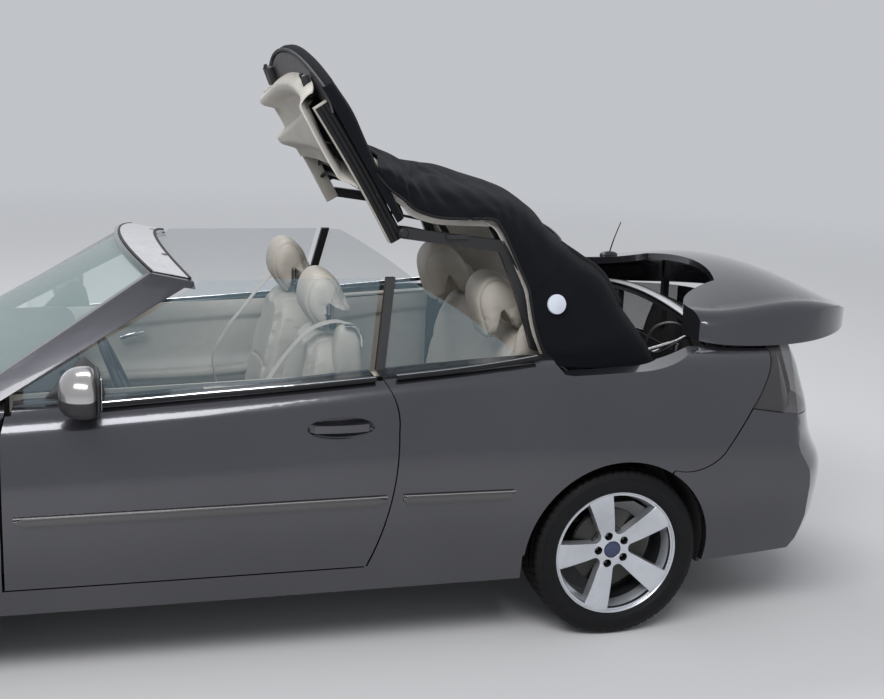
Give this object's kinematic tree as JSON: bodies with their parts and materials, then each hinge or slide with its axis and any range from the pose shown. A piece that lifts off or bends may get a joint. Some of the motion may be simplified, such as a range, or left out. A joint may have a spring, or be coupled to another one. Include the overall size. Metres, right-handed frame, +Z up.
{
  "type": "convertible car",
  "caption": "Convertible car with its cloth roof half folded and its rear deck raised, on alloy wheels.",
  "frame": {"origin": "on the ground, midway between the nose and the raised deck's rear edge, on the car's middle plane", "axes": "+X towards the tail, +Y to the car's right, +Z up"},
  "size_m": [4.86, 2.108, 2.0807],
  "materials": {
    "paint": "gloss metallic",
    "dark_metal": "satin black",
    "black_plastic": "grained",
    "wheel_alloy": "satin silver paint",
    "tyre": "moulded",
    "glass": "clear, lightly tinted",
    "lamp_clear": "clear",
    "lamp_smoked": "smoked",
    "roof_cloth": "woven",
    "leather": "fine grain",
    "trim": "soft touch",
    "cast_iron": "as cast",
    "underbody_steel": "matt sealant",
    "header_shell": "pale satin",
    "mirror_shell": "gloss metallic",
    "exhaust_steel": "dull"
  },
  "bodies": {
    "body": {"underbody": "underbody_steel", "wheelhouses": "underbody_steel", "windscreen_frame": "paint", "cowl": "black_plastic", "front_fenders": "paint", "headlamps": "lamp_clear", "front_bumper": "paint", "grille": "black_plastic", "sills": "paint", "rear_quarters": "paint", "tail_lamps": "lamp_smoked", "tail_panel": "paint", "rear_bumper": "paint", "windscreen": "glass", "quarter_glass": "glass", "quarter_dividers": "black_plastic", "dashboard": "black_plastic", "console": "trim", "front_seats": "leather", "rear_seat": "leather", "roof_well": "black_plastic", "engine": "cast_iron", "radiator": "dark_metal", "front_subframe": "dark_metal", "rear_axle": "dark_metal", "exhaust": "exhaust_steel", "fuel_tank": "black_plastic", "deck_panel": "paint", "deck_rim": "paint", "deck_arms": "dark_metal"},
    "hood": {"hood": "paint"},
    "door_left": {"door_left": "paint", "door_glass_left": "glass", "mirror_left": "mirror_shell"},
    "door_right": {"door_right": "paint", "door_glass_right": "glass", "mirror_right": "mirror_shell"},
    "knuckle_left": {"knuckle_left": "cast_iron"},
    "knuckle_right": {"knuckle_right": "cast_iron"},
    "front_left_wheel": {"tyre_front_left": "tyre", "wheel_front_left": "wheel_alloy"},
    "front_right_wheel": {"tyre_front_right": "tyre", "wheel_front_right": "wheel_alloy"},
    "rear_left_wheel": {"tyre_rear_left": "tyre", "wheel_rear_left": "wheel_alloy"},
    "rear_right_wheel": {"tyre_rear_right": "tyre", "wheel_rear_right": "wheel_alloy"},
    "steering_wheel": {"steering_wheel": "leather"},
    "roof_rear": {"roof_side_rails": "dark_metal", "roof_rear_cover": "roof_cloth", "rear_window": "glass"},
    "roof_front": {"roof_front_frame": "trim", "roof_front_cover": "roof_cloth"}
  },
  "joints": [
    {"name": "hood_hinge", "type": "hinge", "parent": "body", "child": "hood", "pos_m": [-1.11, 0, 0.864], "axis": [0, 1, 0], "range_deg": [0, 50]},
    {"name": "door_left_hinge", "type": "hinge", "parent": "body", "child": "door_left", "pos_m": [-0.914, -0.835, 0.6], "axis": [0, 0, -1], "range_deg": [0, 65]},
    {"name": "door_right_hinge", "type": "hinge", "parent": "body", "child": "door_right", "pos_m": [-0.914, 0.835, 0.6], "axis": [0, 0, 1], "range_deg": [0, 65]},
    {"name": "steer_left", "type": "hinge", "parent": "body", "child": "knuckle_left", "pos_m": [-1.495, -0.734, 0.317], "axis": [0, 0, 1], "range_deg": [-33, 33]},
    {"name": "steer_right", "type": "hinge", "parent": "body", "child": "knuckle_right", "pos_m": [-1.495, 0.734, 0.317], "axis": [0, 0, 1], "range_deg": [-33, 33]},
    {"name": "front_left_spin", "type": "hinge", "parent": "knuckle_left", "child": "front_left_wheel", "pos_m": [-1.495, -0.762, 0.317], "axis": [0, 1, 0], "continuous": true},
    {"name": "front_right_spin", "type": "hinge", "parent": "knuckle_right", "child": "front_right_wheel", "pos_m": [-1.495, 0.762, 0.317], "axis": [0, 1, 0], "continuous": true},
    {"name": "rear_left_spin", "type": "hinge", "parent": "body", "child": "rear_left_wheel", "pos_m": [1.18, -0.756, 0.317], "axis": [0, 1, 0], "continuous": true},
    {"name": "rear_right_spin", "type": "hinge", "parent": "body", "child": "rear_right_wheel", "pos_m": [1.18, 0.756, 0.317], "axis": [0, 1, 0], "continuous": true},
    {"name": "steering_column", "type": "hinge", "parent": "body", "child": "steering_wheel", "pos_m": [-0.545, -0.37, 0.885], "axis": [0.9135, 0, 0.4067], "range_deg": [-495, 495]},
    {"name": "roof_main_hinge", "type": "hinge", "parent": "body", "child": "roof_rear", "pos_m": [1.18, 0, 1], "axis": [0, -1, 0], "range_deg": [0, 8]},
    {"name": "roof_front_hinge", "type": "hinge", "parent": "roof_rear", "child": "roof_front", "pos_m": [0.406, 0, 1.462], "axis": [0, -1, 0], "range_deg": [0, 56]}
  ],
  "couplings": [
    {"joint": "steer_right", "follows": "steer_left", "ratio": 1},
    {"joint": "steering_column", "follows": "steer_left", "ratio": 15},
    {"joint": "roof_front_hinge", "follows": "roof_main_hinge", "ratio": 7}
  ]
}
